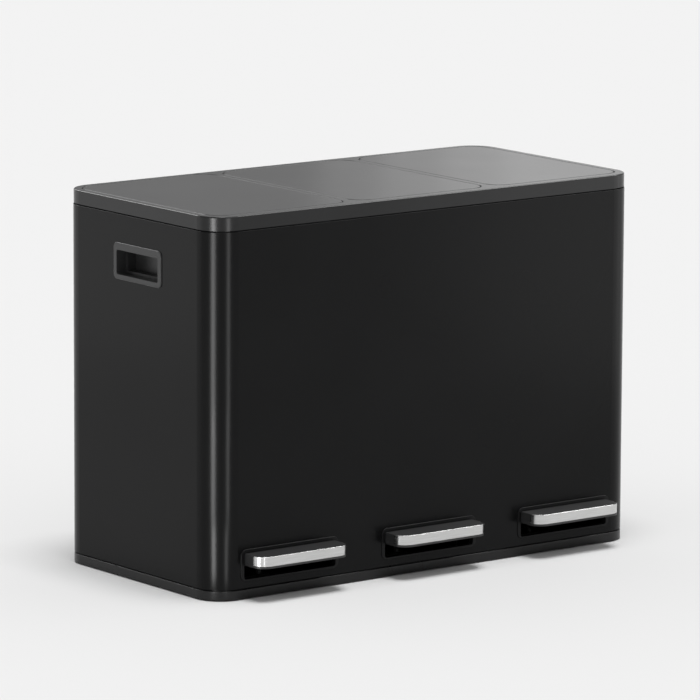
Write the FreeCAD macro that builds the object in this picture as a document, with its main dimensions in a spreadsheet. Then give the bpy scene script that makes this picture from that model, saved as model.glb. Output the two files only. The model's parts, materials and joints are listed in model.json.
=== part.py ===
"""Three-compartment pedal recycling bin in painted steel.

Each compartment has a flush lid, a pedal that raises it and a lift-out bucket. Every piece is drawn
in the case's own frame, in millimetres: X to the bin's right, +Y to its back, +Z up, with the origin
on the floor under the middle of the case. The pieces of one compartment are drawn on the centre line
and placed at its pitch. All of them are then moved back by half of what the pedals stand out, which
puts the origin under the middle of the whole bin.
"""
import FreeCAD, Part
import math
import os
import re
import Sketcher

os.makedirs("parts", exist_ok=True)
doc = FreeCAD.newDocument("PedalBin")

# Driving dimensions, each written once.
DIMENSIONS = {
    # case
    "width": 600,
    "depth": 293,
    "height": 430,
    "corner_radius": 33,
    "shell_wall": 0.8,
    "wrap_edge": 0.4,
    "band_height": 5,
    "band_setback": 2.5,
    "groove_depth": 4,
    "reveal": 1.4,
    "edge_radius": 1.5,
    "fit": 0.15,
    "case_play": 1,
    "cut_over": 1,
    # base
    "foot_height": 1.5,
    "foot_radius": 9,
    "foot_inset": 40,
    "base_rim": 10,
    "rim_edge": 0.7,
    "base_floor": 3,
    "spigot_wall": 4,
    # lid frame
    "frame_height": 15.7,
    "frame_inset": 0.5,
    "frame_spigot": 14,
    "side_border": 10,
    "front_border": 13,
    "rear_border": 10,
    "partition": 9,
    "ledge_depth": 7,
    "ledge_thickness": 3,
    # lids
    "lid_gap": 1,
    "lid_corner": 21,
    "lid_skin": 1,
    "lid_skirt": 9,
    "lid_edge": 1.1,
    "liner_thickness": 2.5,
    "lid_opening": 80,
    "hinge_setback": 22,
    "hinge_drop": 3.6,
    "hinge_pin": 2,
    "hinge_boss": 6,
    "lug_length": 8,
    "lug_inset": 4,
    "lug_root": 1,
    "lug_half_depth": 5.5,
    "lug_drop": 4.6,
    "running": 0.05,
    "pin_clearance": 0.4,
    "bumper_radius": 2.5,
    "bumper_spread": 70,
    "bumper_play": 0.2,
    "bumper_setback": 0.4,
    # crank, push rod and damper
    "crank_arm": 14,
    "crank_pin": 2,
    "crank_plate": 2,
    "crank_wall": 3.2,
    "crank_foot": 24,
    "crank_root": 1,
    "crank_round": 1,
    "pin_stand_out": 1,
    "rod_radius": 3,
    "rod_head": 3,
    "rod_head_root": 2,
    "rod_tip_round": 2.7,
    "slot_wall": 2.2,
    "slot_play": 0.7,
    "tip_gap": 0.4,
    "side_play": 1,
    "yoke_thickness": 3,
    "yoke_drop": 112,
    "yoke_margin": 6,
    "yoke_width": 10.5,
    "damper_offset": 28,
    "damper_radius": 8,
    "damper_length": 80,
    "damper_drop": 160,
    "damper_foot": 10,
    "piston_radius": 2.5,
    "piston_depth": 45,
    "guide_width": 18,
    "guide_height": 14,
    "guide_wall": 3,
    "guide_margin": 4,
    "guide_round": 1,
    # inner walls
    "platform_height": 55,
    "platform_thickness": 2,
    "platform_overlap": 1,
    "inner_wall": 1.2,
    "channel_flange": 20,
    "inner_top_drop": 32,
    "divider_thickness": 1.5,
    # pedals
    "pedal_reach": 31.5,
    "pedal_width": 124.5,
    "pedal_corner": 15,
    "pedal_height": 13.3,
    "pedal_tail": 8,
    "pedal_edge": 0.5,
    "pedal_lip": 2.3,
    "trim_wall": 1.2,
    "trim_edge": 0.3,
    "window_side": 1,
    "window_height": 30,
    "window_bottom": 22.8,
    "window_corner": 3,
    "window_clearance": 0.6,
    "bezel_side": 4.25,
    "bezel_top": 4,
    "bezel_bottom": 2.3,
    "bezel_proud": 1,
    "bezel_edge": 0.6,
    "sleeve_wall": 2,
    "sleeve_depth": 6,
    "lever_width": 22,
    "lever_play": 0.6,
    "lever_plate": 3,
    "lever_top": 31.5,
    "lever_pivot": 86.5,
    "lever_overrun": 6,
    "lever_bend": 11,
    "lever_bend_start": 2,
    "lever_kink": 1,
    "pivot_radius": 3,
    "pivot_sleeve": 6,
    "pivot_drop": 7.5,
    "pivot_head": 4.5,
    "head_thickness": 1.5,
    "bracket_plate": 2.5,
    "bracket_foot": 2,
    "bracket_depth": 30,
    "bracket_ear": 9,
    "bracket_wing": 12,
    "screw_radius": 1.5,
    "screw_cover": 0.5,
    "screw_head": 3.5,
    "screw_head_height": 2,
    # hand-holds
    "grip_width": 79,
    "grip_height": 27.8,
    "grip_middle": 359,
    "grip_forward": 2,
    "grip_depth": 23,
    "grip_corner": 2.5,
    "grip_wall": 1.6,
    "grip_step": 11.5,
    "grip_step_wall": 3,
    "grip_side": 6,
    "grip_top": 8.3,
    "grip_bottom": 5.6,
    "grip_proud": 1.3,
    "grip_edge": 0.9,
    "grip_frame_corner": 6,
    # buckets
    "bucket_wall": 1.8,
    "bucket_floor": 2,
    "bucket_draft": 4,
    "bucket_corner": 20,
    "bucket_play": 2.5,
    "bucket_seat": 0.3,
    "rim_play": 1.5,
    "rim_side_play": 2.5,
    "rim_drop": 42,
    "rim_lip": 8,
    "rim_overlap": 2,
    "finger_slot_width": 10,
    "finger_slot_length": 80,
    "finger_slot_corner": 4.7,
}

# Sizes and places that follow from the driving dimensions.
DERIVED = {
    "front": "-depth / 2",
    "rear": "depth / 2",
    "floor_top": "foot_height + base_floor",
    "base_top": "foot_height + base_rim",
    "shell_low": "base_top + reveal",
    "frame_low": "height - frame_height",
    "shell_high": "frame_low - reveal",
    "inner_top": "height - inner_top_drop",
    "lid_width": "(width - 2 * side_border - 2 * partition - 6 * lid_gap) / 3",
    "lid_pitch": "lid_width + partition + 2 * lid_gap",
    "lid_front": "front + front_border + lid_gap",
    "lid_rear": "rear - rear_border - lid_gap",
    "lid_depth": "lid_rear - lid_front",
    "lid_middle": "(lid_rear + lid_front) / 2",
    "skirt_low": "height - lid_skirt",
    "liner_low": "height - lid_skin - liner_thickness",
    "hinge_y": "lid_rear - hinge_setback",
    "hinge_z": "height - hinge_drop",
    "half_swing": "lid_opening / 2",
    "crank_y": "hinge_y - crank_arm * cos(half_swing)",
    "crank_z": "hinge_z - crank_arm * sin(half_swing)",
    "rod_y": "hinge_y - crank_arm * (1 + cos(half_swing)) / 2",
    "slot_half_height": "crank_pin + slot_play",
    "slot_half_length": "crank_pin + slot_play + crank_arm * (1 - cos(half_swing)) / 2",
    "wall_rear": "rod_y - rod_radius - guide_wall",
    "wall_front": "wall_rear - inner_wall",
    "band_inset": "2 * shell_wall",
    "band_low": "shell_low + band_setback",
    "band_high": "shell_high - band_setback",
    "platform_top": "platform_height + platform_thickness",
    "platform_half": "width / 2 - shell_wall - case_play",
    "platform_front": "front + shell_wall + 2 * case_play",
    "platform_rear": "wall_rear + platform_overlap",
    "pivot_y": "front + lever_pivot",
    "pivot_z": "lever_top - pivot_drop",
    "yoke_z": "hinge_z - yoke_drop",
    "damper_y": "wall_rear + damper_radius + fit",
    "damper_low": "yoke_z - damper_drop + damper_length / 2",
    "damper_top": "damper_low + damper_length",
    "guide_low": "platform_top + guide_height",
    "guide_high": "inner_top - guide_height - guide_margin",
    "guide_rear": "rod_y + rod_radius + guide_wall",
    "window_width": "pedal_width + 2 * window_side",
    "window_top": "window_bottom + window_height",
    "window_middle": "window_bottom + window_height / 2",
    "pedal_top": "window_top - window_clearance",
    "pedal_low": "pedal_top - pedal_height",
    "pedal_front": "front - pedal_reach",
    "pedal_rear": "front + pedal_tail",
    "trim_low": "pedal_low + pedal_lip",
    "trim_rear": "pedal_front + pedal_corner",
    "ear_x": "lever_width / 2 + lever_play",
    "screw_x": "ear_x + bracket_plate + bracket_wing / 2",
    "rim_front": "front + front_border + ledge_depth + rim_play",
    "rim_rear": "wall_front - rim_play",
    "rim_depth": "rim_rear - rim_front",
    "rim_middle": "(rim_rear + rim_front) / 2",
    "rim_width": "lid_width + 2 * lid_gap - 2 * rim_side_play",
    "rim_top": "height - rim_drop",
    "bucket_width": "width - 2 * (grip_depth + grip_wall + bucket_play + lid_pitch)",
    "bucket_depth": "rim_depth - 2 * rim_overlap",
    "bucket_low": "platform_top + bucket_seat",
}

COMPARTMENTS = {"left": -1, "middle": 0, "right": 1}
PLANE_SIDE = {"XY_Plane": 1, "XZ_Plane": -1, "YZ_Plane": 1}
QUARTER = math.pi / 2
CLOSE = 0.01
RIB_PLACES = (-1.2, -0.5, 0.5, 1.2)
nodes = []


def fill_sheet():
    """Write the driving dimensions to the spreadsheet, one aliased cell each."""
    sheet = doc.addObject("Spreadsheet::Sheet", "Size")
    for row, (alias, number) in enumerate(DIMENSIONS.items(), start=1):
        sheet.set(f"A{row}", alias.replace("_", " "))
        sheet.set(f"B{row}", str(number))
        sheet.setAlias(f"B{row}", alias)
    doc.recompute()
    return sheet


def sized(text):
    """Point each name in an expression at its cell, writing out the derived ones."""
    def swap(found):
        name = found.group()
        if name in DERIVED:
            return "(" + sized(DERIVED[name]) + ")"
        return "Size." + name if name in DIMENSIONS else name
    return re.sub(r"[a-z_]+", swap, str(text))


def value(text):
    """The present value of an expression."""
    return float(sheet.evalExpression(sized(text).replace("Size.", "")))


def bind(thing, **properties):
    """Bind properties of a document object to expressions."""
    for name, text in properties.items():
        thing.setExpression(name.replace("__", "."), sized(text))
    return thing


# ---- Sketched profiles: each one is closed and fully constrained ----

def pin_point(sketch, geometry, point, x=None, y=None):
    """Hold a sketch point at x and y from the sketch's origin."""
    for kind, text in (("DistanceX", x), ("DistanceY", y)):
        if text is not None:
            index = sketch.addConstraint(Sketcher.Constraint(kind, -1, 1, geometry, point, value(text)))
            sketch.setExpression(f"Constraints[{index}]", sized(text))


def hold_radius(sketch, geometry, radius):
    index = sketch.addConstraint(Sketcher.Constraint("Radius", geometry, value(radius)))
    sketch.setExpression(f"Constraints[{index}]", sized(radius))


def rectangle(width, height, radius, x="0", y="0"):
    """A rectangle with four round corners about (x, y)."""
    def draw(sketch):
        low_x, high_x = f"{x} - ({width}) / 2", f"{x} + ({width}) / 2"
        low_y, high_y = f"{y} - ({height}) / 2", f"{y} + ({height}) / 2"
        left, right, bottom, top, r = [value(text) for text in (low_x, high_x, low_y, high_y, radius)]
        corners = [(right - r, bottom + r), (right - r, top - r), (left + r, top - r), (left + r, bottom + r)]
        ends = [((left + r, bottom), (right - r, bottom)), ((right, bottom + r), (right, top - r)),
                ((right - r, top), (left + r, top)), ((left, top - r), (left, bottom + r))]
        first = len(sketch.Geometry)
        for start, end in ends:
            sketch.addGeometry(Part.LineSegment(FreeCAD.Vector(*start, 0), FreeCAD.Vector(*end, 0)), False)
        for turn, centre in enumerate(corners):
            circle = Part.Circle(FreeCAD.Vector(*centre, 0), FreeCAD.Vector(0, 0, 1), r)
            start = (turn - 1) * QUARTER
            sketch.addGeometry(Part.ArcOfCircle(circle, start, start + QUARTER), False)
        for side in range(4):
            arc = first + 4 + side
            sketch.addConstraint(Sketcher.Constraint("Tangent", first + side, 2, arc, 1))
            sketch.addConstraint(Sketcher.Constraint("Tangent", arc, 2, first + (side + 1) % 4, 1))
            level = "Vertical" if side % 2 else "Horizontal"
            sketch.addConstraint(Sketcher.Constraint(level, first + side))
        for arc in range(first + 5, first + 8):
            sketch.addConstraint(Sketcher.Constraint("Equal", first + 4, arc))
        hold_radius(sketch, first + 4, radius)
        pin_point(sketch, first + 3, 1, x=low_x)
        pin_point(sketch, first + 1, 1, x=high_x)
        pin_point(sketch, first, 1, y=low_y)
        pin_point(sketch, first + 2, 1, y=high_y)
    return draw


def circle(radius, x="0", y="0"):
    """A circle about (x, y)."""
    def draw(sketch):
        centre = FreeCAD.Vector(value(x), value(y), 0)
        ring = sketch.addGeometry(Part.Circle(centre, FreeCAD.Vector(0, 0, 1), value(radius)), False)
        hold_radius(sketch, ring, radius)
        pin_point(sketch, ring, 3, x=x, y=y)
    return draw


def polygon(*points):
    """A closed outline of straight sides through the points."""
    def draw(sketch):
        first = len(sketch.Geometry)
        spots = [FreeCAD.Vector(value(x), value(y), 0) for x, y in points]
        for start, end in zip(spots, spots[1:] + spots[:1]):
            sketch.addGeometry(Part.LineSegment(start, end), False)
        for side, (x, y) in enumerate(points):
            after = first + (side + 1) % len(points)
            sketch.addConstraint(Sketcher.Constraint("Coincident", first + side, 2, after, 1))
            pin_point(sketch, first + side, 1, x=x, y=y)
    return draw


# ---- Features of a body ----

def new_body(label):
    """A PartDesign body that starts a piece."""
    body = doc.addObject("PartDesign::Body", "Body")
    body.Label = label
    return body


def sketch_on(body, role, start, profiles):
    """A sketch of the profiles on one of the body's origin planes, moved along its axis to start."""
    sketch = body.newObject("Sketcher::SketchObject", "Sketch")
    plane = next(plane for plane in body.Origin.OriginFeatures if plane.Role == role)
    sketch.AttachmentSupport = (plane, [""])
    sketch.MapMode = "FlatFace"
    sketch.setExpression("AttachmentOffset.Base.z", sized(f"{PLANE_SIDE[role]} * ({start})"))
    for draw in profiles:
        draw(sketch)
    return sketch


def add(body, role, start, end, *profiles):
    """Pad the profiles from start to end along the plane's axis."""
    pad = body.newObject("PartDesign::Pad", "Pad")
    pad.Profile = sketch_on(body, role, start, profiles)
    pad.Reversed = PLANE_SIDE[role] < 0
    return bind(pad, Length=f"({end}) - ({start})")


def cut(body, role, start, end, *profiles):
    """Pocket the profiles from start to end along the plane's axis."""
    pocket = body.newObject("PartDesign::Pocket", "Pocket")
    pocket.Profile = sketch_on(body, role, start, profiles)
    pocket.Reversed = PLANE_SIDE[role] > 0
    return bind(pocket, Length=f"({end}) - ({start})")


def loft(body, kind, low, low_profile, high, high_profile):
    """Loft between two profiles at different heights."""
    feature = body.newObject(f"PartDesign::{kind}Loft", kind)
    feature.Profile = sketch_on(body, "XY_Plane", low, [low_profile])
    feature.Sections = [sketch_on(body, "XY_Plane", high, [high_profile])]
    return feature


def at_height(edge, height):
    """Whether a whole edge lies at one height."""
    level = value(height)
    return abs(edge.BoundBox.ZMin - level) < CLOSE and abs(edge.BoundBox.ZMax - level) < CLOSE


def on_outline(edge, inset):
    """Whether an edge lies on the case's plan, drawn in by an inset."""
    box = edge.BoundBox
    half_width, half_depth = value(f"width / 2 - ({inset})"), value(f"depth / 2 - ({inset})")
    far_x = max(abs(box.XMin), abs(box.XMax))
    far_y = max(abs(box.YMin), abs(box.YMax))
    return abs(far_x - half_width) < CLOSE or abs(far_y - half_depth) < CLOSE


def soften(body, radius, chosen):
    """Fillet the edges of the body's last feature that the test picks."""
    doc.recompute()
    base = body.Tip
    names = [f"Edge{number}" for number, edge in enumerate(base.Shape.Edges, start=1) if chosen(edge)]
    fillet = body.newObject("PartDesign::Fillet", "Fillet")
    fillet.Base = (base, names)
    return bind(fillet, Radius=radius)


def rod(radius, length, x="0", y="0", z="0", axis="Z"):
    """A plain cylinder from a point along an axis."""
    cylinder = doc.addObject("Part::Cylinder", "Cylinder")
    if axis == "X":
        cylinder.Placement.Rotation = FreeCAD.Rotation(FreeCAD.Vector(0, 1, 0), 90)
    bind(cylinder, Radius=radius, Height=length)
    return bind(cylinder, Placement__Base__x=x, Placement__Base__y=y, Placement__Base__z=z)


def group(label, pieces):
    """One node that holds several equal pieces."""
    compound = doc.addObject("Part::Compound", "Compound")
    compound.Links = pieces
    compound.Label = label
    return compound


def fuse(label, pieces):
    """One solid joined from overlapping pieces."""
    joined = doc.addObject("Part::MultiFuse", "Fusion")
    joined.Shapes = pieces
    joined.Refine = True
    joined.Label = label
    return joined


def finish(piece, side=0, turned=False):
    """Place a finished piece at its compartment and list it for export."""
    if turned:
        piece.Placement.Rotation = FreeCAD.Rotation(FreeCAD.Vector(0, 0, 1), 180)
    bind(piece, Placement__Base__x=f"{side} * lid_pitch", Placement__Base__y="pedal_reach / 2")
    nodes.append(piece)
    return piece


# ---- Case ----

def case_outline(inset):
    """The case's plan, drawn in by an inset."""
    return rectangle(f"width - 2 * ({inset})", f"depth - 2 * ({inset})", f"corner_radius - ({inset})")


def grip_outline(grow, corner, x="-grip_forward"):
    """The hand-hold's opening, grown all round."""
    return rectangle(f"grip_width + 2 * ({grow})", f"grip_height + 2 * ({grow})", corner, x, "grip_middle")


def window_outline(grow, x="0"):
    """The pedal's opening, grown all round."""
    return rectangle(f"window_width + 2 * ({grow})", f"window_height + 2 * ({grow})",
                     f"window_corner + ({grow})", x, "window_middle")


def make_body_shell():
    """The painted steel wrap, with windows for the pedals and the hand-holds."""
    body = new_body("body_shell")
    add(body, "XY_Plane", "shell_low", "shell_high", case_outline("0"), case_outline("shell_wall"))
    cut(body, "XZ_Plane", "front - cut_over", "front + shell_wall + cut_over",
        *[window_outline("sleeve_wall + fit", f"{side} * lid_pitch") for side in COMPARTMENTS.values()])
    cut(body, "YZ_Plane", "-width / 2 - cut_over", "width / 2 + cut_over",
        grip_outline("grip_wall + fit", "grip_corner + grip_wall + fit"))
    soften(body, "wrap_edge", lambda edge: on_outline(edge, "0")
           and (at_height(edge, "shell_high") or at_height(edge, "shell_low")))
    return finish(body)


def make_shell_bands():
    """Two stiffening bands welded inside the wrap's ends, which seat it on the base and the frame."""
    bands = []
    for low, high in (("band_low", "band_low + band_height"), ("band_high - band_height", "band_high")):
        band = new_body("band")
        add(band, "XY_Plane", low, high, case_outline("shell_wall"), case_outline("band_inset"))
        bands.append(band)
    return finish(group("shell_bands", bands))


def make_base_pan():
    """The plastic base: a floor, a rim that shows, a groove over it and a spigot inside the wrap's band."""
    body = new_body("base_pan")
    add(body, "XY_Plane", "foot_height", "base_top", case_outline("0"))
    add(body, "XY_Plane", "base_top", "band_low", case_outline("groove_depth"))
    add(body, "XY_Plane", "band_low", "band_low + band_height", case_outline("band_inset"))
    cut(body, "XY_Plane", "floor_top", "band_low + band_height", case_outline("band_inset + spigot_wall"))
    holes = [circle("screw_radius", f"{side} * lid_pitch + {hand} * (screw_x)", "pivot_y")
             for side in COMPARTMENTS.values() for hand in (-1, 1)]
    cut(body, "XY_Plane", "foot_height + screw_cover", "floor_top", *holes)
    soften(body, "rim_edge", lambda edge: at_height(edge, "base_top") and on_outline(edge, "0"))
    return finish(body)


def make_rubber_feet():
    """Four feet under the base's corners."""
    feet = [rod("foot_radius", "foot_height", f"{across} * (width / 2 - foot_inset)",
                f"{along} * (depth / 2 - foot_inset)")
            for across in (-1, 1) for along in (-1, 1)]
    return finish(group("rubber_feet", feet))


def lid_opening_outline(grow, side, shorten="0"):
    """A lid's plan, grown all round and shortened at its front."""
    return rectangle(f"lid_width + 2 * ({grow})", f"lid_depth + 2 * ({grow}) - ({shorten})",
                     f"lid_corner + ({grow})", f"{side} * lid_pitch", f"lid_middle + ({shorten}) / 2")


def make_top_frame():
    """The one-piece frame round the lids, with a spigot in the wrap's band and a ledge under each lid."""
    body = new_body("top_frame")
    add(body, "XY_Plane", "frame_low - frame_spigot", "band_high",
        case_outline("band_inset"), case_outline("band_inset + spigot_wall"))
    add(body, "XY_Plane", "band_high", "frame_low",
        case_outline("groove_depth"), case_outline("band_inset + spigot_wall"))
    add(body, "XY_Plane", "frame_low", "height", case_outline("frame_inset"))
    sides = COMPARTMENTS.values()
    ledge_top = "frame_low + ledge_thickness"
    cut(body, "XY_Plane", ledge_top, "height", *[lid_opening_outline("lid_gap", side) for side in sides])
    cut(body, "XY_Plane", "frame_low - cut_over", ledge_top,
        *[lid_opening_outline("lid_gap", side, "ledge_depth") for side in sides])
    reach = "(width / 2 - side_border + hinge_boss)"
    cut(body, "YZ_Plane", f"-{reach}", reach, circle("hinge_pin", "hinge_y", "hinge_z"))
    soften(body, "edge_radius", lambda edge: at_height(edge, "height") and on_outline(edge, "frame_inset"))
    soften(body, "edge_radius / 2", lambda edge: at_height(edge, "height")
           and not on_outline(edge, "frame_inset + edge_radius"))
    return finish(body)


def make_bucket_platform():
    """The inner floor that the buckets stand on, with ribs between the pedal levers."""
    body = new_body("bucket_platform")
    add(body, "XY_Plane", "platform_height", "platform_top",
        rectangle("2 * platform_half", "platform_rear - platform_front",
                  "corner_radius - shell_wall - case_play", y="(platform_rear + platform_front) / 2"))
    ribs = [rectangle("platform_thickness", "depth / 2", "platform_thickness / 4", f"{side} * lid_pitch")
            for side in RIB_PLACES]
    add(body, "XY_Plane", "floor_top", "platform_height + platform_thickness / 2", *ribs)
    return finish(body)


def make_rear_divider():
    """The sheet that parts the buckets from the mechanism channel."""
    body = new_body("rear_divider")
    half, back = "(width / 2 - shell_wall - 2 * case_play)", "wall_front + channel_flange"
    add(body, "XY_Plane", "platform_top", "inner_top",
        polygon((f"-{half}", "wall_front"), (half, "wall_front"), (half, back),
                (f"{half} - inner_wall", back), (f"{half} - inner_wall", "wall_rear"),
                (f"-{half} + inner_wall", "wall_rear"), (f"-{half} + inner_wall", back), (f"-{half}", back)))
    return finish(body)


def make_compartment_divider(name, side):
    """A thin wall between two buckets."""
    body = new_body(f"compartment_divider_{name}")
    start = "front + shell_wall + bucket_play"
    add(body, "XY_Plane", "platform_top", "inner_top",
        rectangle("divider_thickness", f"wall_front - ({start})", "divider_thickness / 4",
                  f"{side} * lid_pitch / 2", f"(wall_front + ({start})) / 2"))
    return finish(body)


def make_handle_insert(name, turned):
    """A moulded hand-hold: a rim on the case's side round a stepped pocket."""
    body = new_body(f"handle_insert_{name}")
    face = "-width / 2"
    forward = "grip_forward" if turned else "-grip_forward"
    rim_height = "(grip_height + grip_top + grip_bottom)"
    rim_middle = "grip_middle + (grip_top - grip_bottom) / 2"
    add(body, "YZ_Plane", f"{face} - grip_proud", face,
        rectangle("grip_width + 2 * grip_side", rim_height, "grip_frame_corner", forward, rim_middle))
    soften(body, "grip_edge", lambda edge: abs(edge.BoundBox.XMax - value(f"{face} - grip_proud")) < CLOSE)
    add(body, "YZ_Plane", face, f"{face} + grip_depth + grip_wall",
        grip_outline("grip_wall", "grip_corner + grip_wall", forward))
    cut(body, "YZ_Plane", f"{face} - grip_proud", f"{face} + grip_step",
        grip_outline("0", "grip_corner", forward))
    cut(body, "YZ_Plane", f"{face} + grip_step", f"{face} + grip_depth",
        rectangle("grip_width - 2 * grip_step_wall", "grip_height - grip_step_wall", "grip_corner",
                  forward, "grip_middle + grip_step_wall / 2"))
    return finish(body, turned=turned)


# ---- Pedals ----

def make_pedal_bezel(name, side):
    """The plastic surround of a pedal's opening, with a short sleeve through the wrap."""
    body = new_body(f"pedal_bezel_{name}")
    add(body, "XZ_Plane", "front - bezel_proud", "front",
        rectangle("window_width + 2 * bezel_side", "window_height + bezel_top + bezel_bottom",
                  "window_corner + bezel_side", y="window_middle + (bezel_top - bezel_bottom) / 2"))
    soften(body, "bezel_edge", lambda edge: abs(edge.BoundBox.YMax - value("front - bezel_proud")) < CLOSE)
    add(body, "XZ_Plane", "front", "front + sleeve_depth", window_outline("sleeve_wall"))
    cut(body, "XZ_Plane", "front - bezel_proud", "front + sleeve_depth", window_outline("0"))
    return finish(body, side)


def pedal_outline(inset):
    """The pedal's plan, drawn in by an inset."""
    return rectangle(f"pedal_width - 2 * ({inset})", f"pedal_rear - pedal_front - 2 * ({inset})",
                     f"pedal_corner - ({inset})", y="(pedal_rear + pedal_front) / 2")


def make_pedal_pad(name, side):
    """The foot plate: a lip under its trim, a nose inside it and a full-width tread behind it."""
    body = new_body(f"pedal_pad_{name}")
    add(body, "XY_Plane", "pedal_low", "trim_low", pedal_outline("0"))
    add(body, "XY_Plane", "pedal_low", "pedal_top", pedal_outline("trim_wall"))
    add(body, "XY_Plane", "pedal_low", "pedal_top",
        polygon(("-pedal_width / 2", "trim_rear"), ("pedal_width / 2", "trim_rear"),
                ("pedal_width / 2", "pedal_rear"), ("-pedal_width / 2", "pedal_rear")))
    soften(body, "pedal_edge", lambda edge: at_height(edge, "pedal_top"))
    return finish(body, side)


def make_pedal_trim(name, side):
    """The bright band round the front of the foot plate."""
    body = new_body(f"pedal_trim_{name}")
    add(body, "XY_Plane", "trim_low", "pedal_top", pedal_outline("0"), pedal_outline("trim_wall"))
    soften(body, "trim_edge", lambda edge: at_height(edge, "pedal_top") or at_height(edge, "trim_low"))
    cut(body, "XY_Plane", "trim_low - cut_over", "pedal_top + cut_over",
        polygon(("-pedal_width", "trim_rear"), ("pedal_width", "trim_rear"),
                ("pedal_width", "pedal_rear + cut_over"), ("-pedal_width", "pedal_rear + cut_over")))
    return finish(body, side)


def make_pedal_lever(name, side):
    """The bent flat bar under a bucket, from the foot plate to the push rod, on a welded pivot sleeve."""
    body = new_body(f"pedal_lever_{name}")
    nose, bend_front = "trim_rear", "front + lever_bend_start"
    bend_rear = f"{bend_front} + lever_bend"
    under, tail = "pedal_low", "rod_y + lever_overrun"
    add(body, "YZ_Plane", "-lever_width / 2", "lever_width / 2",
        polygon((nose, f"{under} - lever_plate"), (bend_front, f"{under} - lever_plate"),
                (bend_rear, "lever_top - lever_plate"), (tail, "lever_top - lever_plate"),
                (tail, "lever_top"), (f"{bend_rear} + lever_kink", "lever_top"),
                (f"{bend_front} + lever_kink", under), (nose, under)))
    add(body, "YZ_Plane", "-lever_width / 2", "lever_width / 2", circle("pivot_sleeve", "pivot_y", "pivot_z"))
    cut(body, "YZ_Plane", "-lever_width / 2", "lever_width / 2",
        circle("pivot_radius + running", "pivot_y", "pivot_z"))
    return finish(body, side)


def make_pedal_bracket(name, side):
    """The folded bracket on the base that carries a lever's pin."""
    body = new_body(f"pedal_bracket_{name}")
    outer = "(ear_x + bracket_plate)"
    add(body, "XY_Plane", "floor_top", "floor_top + bracket_foot",
        rectangle(f"2 * ({outer} + bracket_wing)", "bracket_depth", "bracket_plate", y="pivot_y"))
    for low, high in ((f"-{outer}", "-ear_x"), ("ear_x", outer)):
        add(body, "YZ_Plane", low, high,
            polygon(("pivot_y - bracket_ear", "floor_top"), ("pivot_y + bracket_ear", "floor_top"),
                    ("pivot_y + bracket_ear / 2", "pivot_z + bracket_ear / 2"),
                    ("pivot_y - bracket_ear / 2", "pivot_z + bracket_ear / 2")))
    cut(body, "YZ_Plane", f"-{outer}", outer, circle("pivot_radius", "pivot_y", "pivot_z"))
    cut(body, "XY_Plane", "floor_top", "floor_top + bracket_foot",
        *[circle("screw_radius", f"{hand} * (screw_x)", "pivot_y") for hand in (-1, 1)])
    return finish(body, side)


def make_pedal_pivot_pins():
    """One headed pin through each bracket."""
    pins = []
    for side in COMPARTMENTS.values():
        outer = "(ear_x + bracket_plate)"
        middle = f"{side} * lid_pitch"
        shank = rod("pivot_radius", f"2 * {outer}", f"{middle} - {outer}", "pivot_y", "pivot_z", "X")
        heads = [rod("pivot_head", "head_thickness", f"{middle} + {place}", "pivot_y", "pivot_z", "X")
                 for place in (f"({outer})", f"(-{outer} - head_thickness)")]
        pins.append(fuse("pivot pin", [shank] + heads))
    return finish(group("pedal_pivot_pins", pins))


def make_bracket_screws():
    """Two screws through each bracket into the base."""
    screws = []
    for side in COMPARTMENTS.values():
        for hand in (-1, 1):
            x = f"{side} * lid_pitch + {hand} * (screw_x)"
            shank = rod("screw_radius", "base_floor - screw_cover + bracket_foot", x, "pivot_y",
                        "foot_height + screw_cover")
            head = rod("screw_head", "screw_head_height", x, "pivot_y", "floor_top + bracket_foot")
            screws.append(fuse("screw", [shank, head]))
    return finish(group("bracket_screws", screws))


# ---- Lids ----

def make_lid_skin(name, side):
    """A lid's painted steel cover with a turned-down skirt."""
    body = new_body(f"lid_skin_{name}")
    add(body, "XY_Plane", "skirt_low", "height", lid_opening_outline("0", 0))
    soften(body, "lid_edge", lambda edge: at_height(edge, "height"))
    cut(body, "XY_Plane", "skirt_low", "height - lid_skin", lid_opening_outline("-lid_skin", 0))
    cut(body, "YZ_Plane", "-lid_width / 2 - cut_over", "lid_width / 2 + cut_over",
        circle("hinge_pin + pin_clearance", "hinge_y", "hinge_z"))
    return finish(body, side)


def make_lid_liner(name, side):
    """A lid's plastic liner, with a lug for each hinge pin."""
    body = new_body(f"lid_liner_{name}")
    inset = "(lid_skin + fit)"
    add(body, "XY_Plane", "liner_low", "height - lid_skin", lid_opening_outline(f"-{inset}", 0))
    lug_end = "(lid_width / 2 - lug_inset - lug_length)"
    for low, high in ((f"-{lug_end} - lug_length", f"-{lug_end}"), (lug_end, f"{lug_end} + lug_length")):
        add(body, "YZ_Plane", low, high,
            polygon(("hinge_y - lug_half_depth", "hinge_z - lug_drop"),
                    ("hinge_y + lug_half_depth", "hinge_z - lug_drop"),
                    ("hinge_y + lug_half_depth", "liner_low + lug_root"),
                    ("hinge_y - lug_half_depth", "liner_low + lug_root")))
    for low, high in (("-lid_width / 2", f"-{lug_end}"), (lug_end, "lid_width / 2")):
        cut(body, "YZ_Plane", low, high, circle("hinge_pin + running", "hinge_y", "hinge_z"))
    return finish(body, side)


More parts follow.
